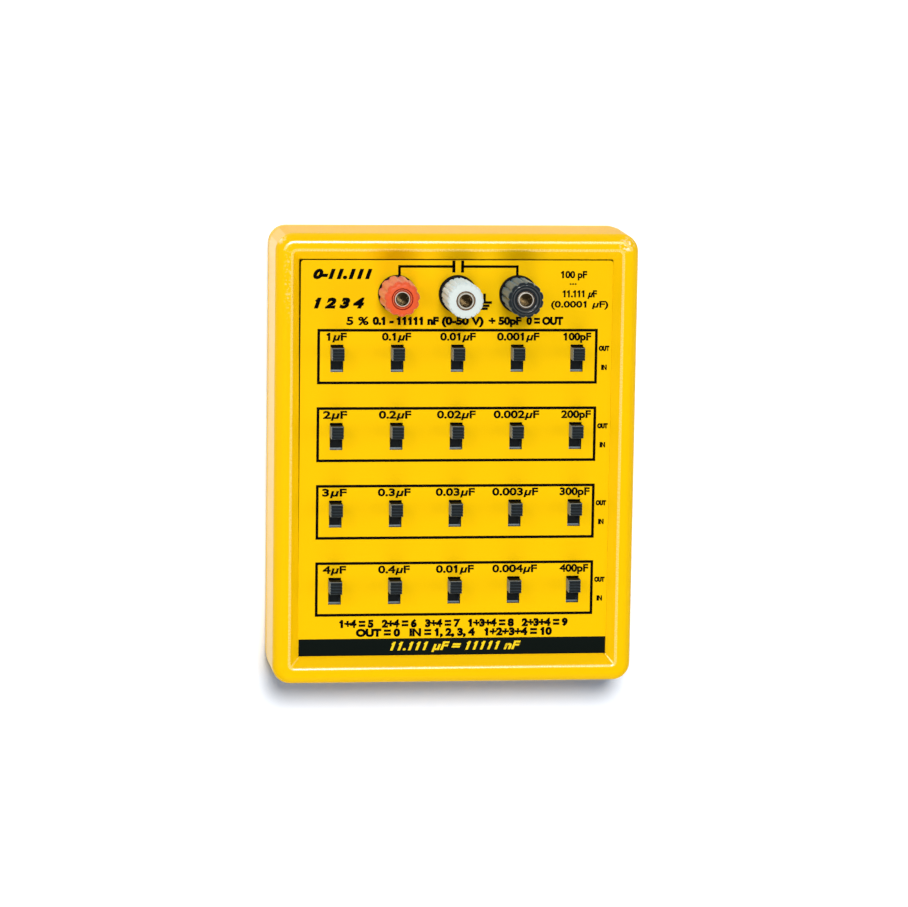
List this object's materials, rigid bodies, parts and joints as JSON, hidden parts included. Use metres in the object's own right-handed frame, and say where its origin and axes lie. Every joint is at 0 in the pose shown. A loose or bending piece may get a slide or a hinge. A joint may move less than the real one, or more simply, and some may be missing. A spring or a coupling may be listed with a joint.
{
  "type": "capacitance decade box",
  "caption": "Hand-size decade box: a yellow clamshell case with a recessed panel of slide switches and a row of fluted binding posts.",
  "frame": {"origin": "middle of the footprint, on the surface that the rubber feet stand on", "axes": "+X to the right of the panel, +Y towards the binding posts along the longest side, +Z out of the front panel"},
  "size_m": [0.1146, 0.143, 0.0532],
  "materials": {
    "yellow_plastic": "satin moulded",
    "yellow_panel": "satin painted",
    "screw_steel": "zinc plated",
    "foot_rubber": "matt",
    "board": "solder mask",
    "switch_steel": "bright plated",
    "phenolic": "phenolic laminate",
    "tinned_metal": "tinned",
    "film_capacitor": "moulded box",
    "film_capacitor_small": "moulded box",
    "dipped_capacitor": "dipped",
    "foil_capacitor": "foil tube",
    "ceramic_capacitor": "dipped ceramic",
    "washer_plastic": "moulded",
    "brass": "machined",
    "post_metal": "nickel plated",
    "red_plastic": "moulded",
    "white_plastic": "moulded",
    "black_plastic": "moulded",
    "slider_plastic": "moulded",
    "red_insulation": "wire insulation",
    "white_insulation": "wire insulation",
    "black_insulation": "wire insulation"
  },
  "bodies": {
    "case": {"front_case": "yellow_plastic", "rear_case": "yellow_plastic", "panel_plate": "yellow_panel", "case_screws": "screw_steel", "rubber_feet": "foot_rubber", "circuit_board": "board", "board_screws": "screw_steel", "switch_shells": "switch_steel", "switch_bases": "phenolic", "switch_terminals": "tinned_metal", "capacitors_1uF": "film_capacitor", "capacitors_100nF": "film_capacitor_small", "capacitors_10nF": "dipped_capacitor", "capacitors_1nF": "foil_capacitor", "capacitors_100pF": "ceramic_capacitor", "upper_washers": "washer_plastic", "lower_washers": "washer_plastic", "post_nuts": "brass", "lock_nuts": "brass", "solder_lugs": "tinned_metal", "red_stud": "post_metal", "white_stud": "post_metal", "black_stud": "post_metal", "red_lead": "red_insulation", "white_lead": "white_insulation", "black_lead": "black_insulation"},
    "slider_1uF": {"slider_1uF": "slider_plastic"},
    "slider_2uF": {"slider_2uF": "slider_plastic"},
    "slider_3uF": {"slider_3uF": "slider_plastic"},
    "slider_4uF": {"slider_4uF": "slider_plastic"},
    "slider_100nF": {"slider_100nF": "slider_plastic"},
    "slider_200nF": {"slider_200nF": "slider_plastic"},
    "slider_300nF": {"slider_300nF": "slider_plastic"},
    "slider_400nF": {"slider_400nF": "slider_plastic"},
    "slider_10nF": {"slider_10nF": "slider_plastic"},
    "slider_20nF": {"slider_20nF": "slider_plastic"},
    "slider_30nF": {"slider_30nF": "slider_plastic"},
    "slider_40nF": {"slider_40nF": "slider_plastic"},
    "slider_1nF": {"slider_1nF": "slider_plastic"},
    "slider_2nF": {"slider_2nF": "slider_plastic"},
    "slider_3nF": {"slider_3nF": "slider_plastic"},
    "slider_4nF": {"slider_4nF": "slider_plastic"},
    "slider_100pF": {"slider_100pF": "slider_plastic"},
    "slider_200pF": {"slider_200pF": "slider_plastic"},
    "slider_300pF": {"slider_300pF": "slider_plastic"},
    "slider_400pF": {"slider_400pF": "slider_plastic"},
    "red_insert": {"red_insert": "brass"},
    "red_cap": {"red_cap": "red_plastic"},
    "white_insert": {"white_insert": "brass"},
    "white_cap": {"white_cap": "white_plastic"},
    "black_insert": {"black_insert": "brass"},
    "black_cap": {"black_cap": "black_plastic"}
  },
  "joints": [
    {"name": "slider_1uF_slide", "type": "slide", "parent": "case", "child": "slider_1uF", "axis": [0, -1, 0], "range_m": [0, 0.0036]},
    {"name": "slider_2uF_slide", "type": "slide", "parent": "case", "child": "slider_2uF", "axis": [0, -1, 0], "range_m": [0, 0.0036]},
    {"name": "slider_3uF_slide", "type": "slide", "parent": "case", "child": "slider_3uF", "axis": [0, -1, 0], "range_m": [0, 0.0036]},
    {"name": "slider_4uF_slide", "type": "slide", "parent": "case", "child": "slider_4uF", "axis": [0, -1, 0], "range_m": [0, 0.0036]},
    {"name": "slider_100nF_slide", "type": "slide", "parent": "case", "child": "slider_100nF", "axis": [0, -1, 0], "range_m": [0, 0.0036]},
    {"name": "slider_200nF_slide", "type": "slide", "parent": "case", "child": "slider_200nF", "axis": [0, -1, 0], "range_m": [0, 0.0036]},
    {"name": "slider_300nF_slide", "type": "slide", "parent": "case", "child": "slider_300nF", "axis": [0, -1, 0], "range_m": [0, 0.0036]},
    {"name": "slider_400nF_slide", "type": "slide", "parent": "case", "child": "slider_400nF", "axis": [0, -1, 0], "range_m": [0, 0.0036]},
    {"name": "slider_10nF_slide", "type": "slide", "parent": "case", "child": "slider_10nF", "axis": [0, -1, 0], "range_m": [0, 0.0036]},
    {"name": "slider_20nF_slide", "type": "slide", "parent": "case", "child": "slider_20nF", "axis": [0, -1, 0], "range_m": [0, 0.0036]},
    {"name": "slider_30nF_slide", "type": "slide", "parent": "case", "child": "slider_30nF", "axis": [0, -1, 0], "range_m": [0, 0.0036]},
    {"name": "slider_40nF_slide", "type": "slide", "parent": "case", "child": "slider_40nF", "axis": [0, -1, 0], "range_m": [0, 0.0036]},
    {"name": "slider_1nF_slide", "type": "slide", "parent": "case", "child": "slider_1nF", "axis": [0, -1, 0], "range_m": [0, 0.0036]},
    {"name": "slider_2nF_slide", "type": "slide", "parent": "case", "child": "slider_2nF", "axis": [0, -1, 0], "range_m": [0, 0.0036]},
    {"name": "slider_3nF_slide", "type": "slide", "parent": "case", "child": "slider_3nF", "axis": [0, -1, 0], "range_m": [0, 0.0036]},
    {"name": "slider_4nF_slide", "type": "slide", "parent": "case", "child": "slider_4nF", "axis": [0, -1, 0], "range_m": [0, 0.0036]},
    {"name": "slider_100pF_slide", "type": "slide", "parent": "case", "child": "slider_100pF", "axis": [0, -1, 0], "range_m": [0, 0.0036]},
    {"name": "slider_200pF_slide", "type": "slide", "parent": "case", "child": "slider_200pF", "axis": [0, -1, 0], "range_m": [0, 0.0036]},
    {"name": "slider_300pF_slide", "type": "slide", "parent": "case", "child": "slider_300pF", "axis": [0, -1, 0], "range_m": [0, 0.0036]},
    {"name": "slider_400pF_slide", "type": "slide", "parent": "case", "child": "slider_400pF", "axis": [0, -1, 0], "range_m": [0, 0.0036]},
    {"name": "red_cap_lift", "type": "slide", "parent": "case", "child": "red_insert", "axis": [0, 0, 1], "range_m": [0, 0.0032]},
    {"name": "red_cap_turn", "type": "hinge", "parent": "red_insert", "child": "red_cap", "pos_m": [-0.01905, 0.0523, 0.041], "axis": [0, 0, 1], "range_deg": [0, 1440]},
    {"name": "white_cap_lift", "type": "slide", "parent": "case", "child": "white_insert", "axis": [0, 0, 1], "range_m": [0, 0.0032]},
    {"name": "white_cap_turn", "type": "hinge", "parent": "white_insert", "child": "white_cap", "pos_m": [0, 0.0523, 0.041], "axis": [0, 0, 1], "range_deg": [0, 1440]},
    {"name": "black_cap_lift", "type": "slide", "parent": "case", "child": "black_insert", "axis": [0, 0, 1], "range_m": [0, 0.0032]},
    {"name": "black_cap_turn", "type": "hinge", "parent": "black_insert", "child": "black_cap", "pos_m": [0.01905, 0.0523, 0.041], "axis": [0, 0, 1], "range_deg": [0, 1440]}
  ],
  "couplings": [
    {"joint": "red_cap_turn", "follows": "red_cap_lift", "rad_per_m": 7854},
    {"joint": "white_cap_turn", "follows": "white_cap_lift", "rad_per_m": 7854},
    {"joint": "black_cap_turn", "follows": "black_cap_lift", "rad_per_m": 7854}
  ]
}
